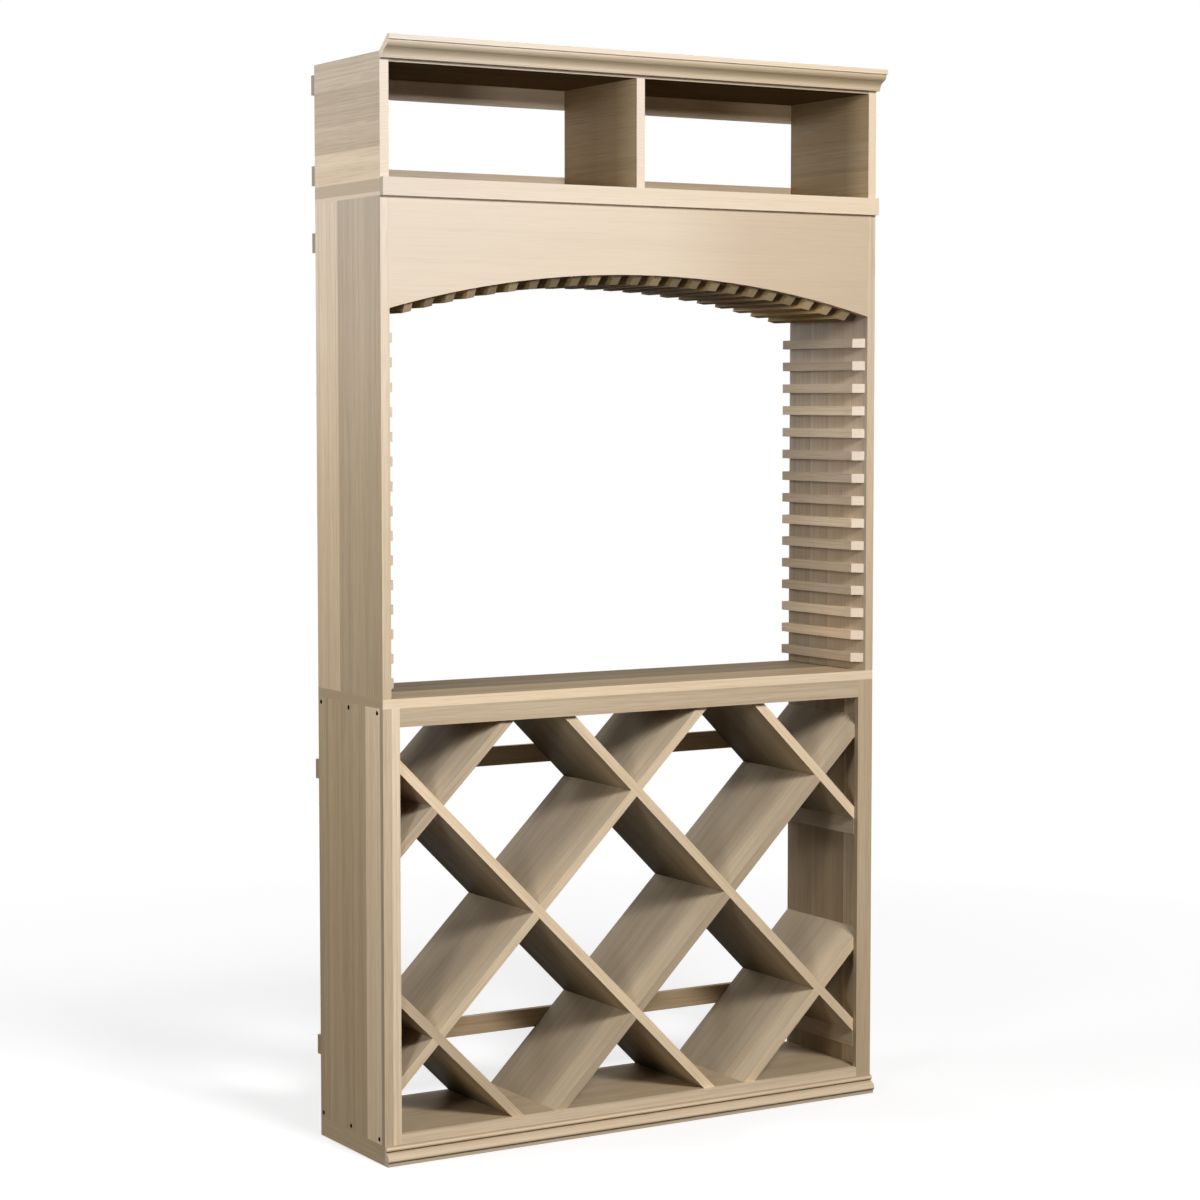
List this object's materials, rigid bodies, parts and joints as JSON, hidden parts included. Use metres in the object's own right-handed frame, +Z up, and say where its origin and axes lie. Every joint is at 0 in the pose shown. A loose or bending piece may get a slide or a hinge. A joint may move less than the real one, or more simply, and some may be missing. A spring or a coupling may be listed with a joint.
{
  "type": "wine tasting cabinet",
  "caption": "Tall open wood cabinet with a diamond bottle lattice in its base, a counter, an arched slatted niche, an open top case and a sprung crown.",
  "frame": {"origin": "centre of the bounding box in plan, on the ground", "axes": "+X to the cabinet's right seen from the front, +Y from the front to the open back, +Z up"},
  "size_m": [1.172, 0.3404, 2.1815],
  "materials": {
    "board_wood": "clear matt finish, pale straight-grained softwood",
    "front_wood": "clear satin finish, pale straight-grained softwood",
    "rail_wood": "clear matt finish, square-sawn softwood strips",
    "screw_black": "black oxide"
  },
  "bodies": {
    "root": {"plinth_side_left": "board_wood", "plinth_side_right": "board_wood", "plinth_front": "board_wood", "plinth_back": "board_wood", "base_side_left": "board_wood", "base_side_right": "board_wood", "base_top_board": "board_wood", "base_floor_board": "board_wood", "stile_left": "front_wood", "stile_right": "front_wood", "top_rail": "front_wood", "bottom_rail": "front_wood", "base_moulding": "front_wood", "lattice_down_1": "board_wood", "lattice_down_2": "board_wood", "lattice_down_3": "board_wood", "lattice_down_4": "board_wood", "lattice_up_1": "board_wood", "lattice_up_2": "board_wood", "lattice_up_3": "board_wood", "lattice_up_4": "board_wood", "rest_left_low": "rail_wood", "rest_left_high": "rail_wood", "rest_right_low": "rail_wood", "rest_right_high": "rail_wood", "side_screws_left": "screw_black", "side_screws_right": "screw_black", "counter_board": "front_wood", "hutch_side_left": "board_wood", "hutch_side_right": "board_wood", "hutch_cover_board": "board_wood", "wall_rails_left": "rail_wood", "wall_rails_right": "rail_wood", "valance": "front_wood", "rear_arch_board": "board_wood", "ceiling_slats": "rail_wood", "case_floor_board": "board_wood", "case_side_left": "board_wood", "case_side_right": "board_wood", "case_divider": "board_wood", "case_top_board": "board_wood", "trim_board": "front_wood", "crown_moulding": "front_wood", "rear_cleat_1": "board_wood", "rear_cleat_2": "board_wood", "rear_cleat_3": "board_wood", "rear_cleat_4": "board_wood", "rear_cleat_5": "board_wood", "cleat_screws": "screw_black"}
  },
  "joints": []
}
